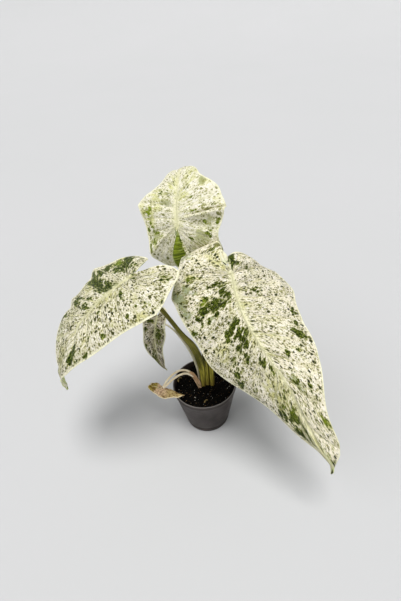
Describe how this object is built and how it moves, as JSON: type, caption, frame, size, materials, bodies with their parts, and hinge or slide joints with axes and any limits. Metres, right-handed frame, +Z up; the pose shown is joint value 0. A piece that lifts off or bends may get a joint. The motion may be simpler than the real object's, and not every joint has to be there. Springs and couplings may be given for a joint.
{
  "type": "potted house plant",
  "caption": "Young aroid house plant with heart-shaped cream and green speckled leaves on long stalks and a withered leaf at the soil, in a small tapered nursery pot.",
  "frame": {"origin": "middle of the pot's underside", "axes": "+Z up along the pot's axis, -Y towards the side that the large leaves face"},
  "size_m": [0.21, 0.1966, 0.2269],
  "materials": {
    "pot": "satin, lightly scuffed",
    "potting_mix": "damp, crumbly",
    "corm": "rough",
    "stalk": "smooth, slightly glossy",
    "leaf": "soft sheen, cream speckled with green",
    "young_leaf": "soft sheen, speckled with green",
    "dry_stalk": "dry, papery",
    "dry_leaf": "dry, papery"
  },
  "bodies": {
    "root": {"pot": "pot", "soil": "potting_mix", "corm_and_roots": "corm", "petiole_left": "stalk", "petiole_right": "stalk", "petiole_top": "stalk", "petiole_small": "stalk", "petiole_withered": "dry_stalk", "blade_left": "leaf", "blade_right": "leaf", "blade_top": "leaf", "blade_small": "young_leaf", "blade_withered": "dry_leaf"}
  },
  "joints": []
}
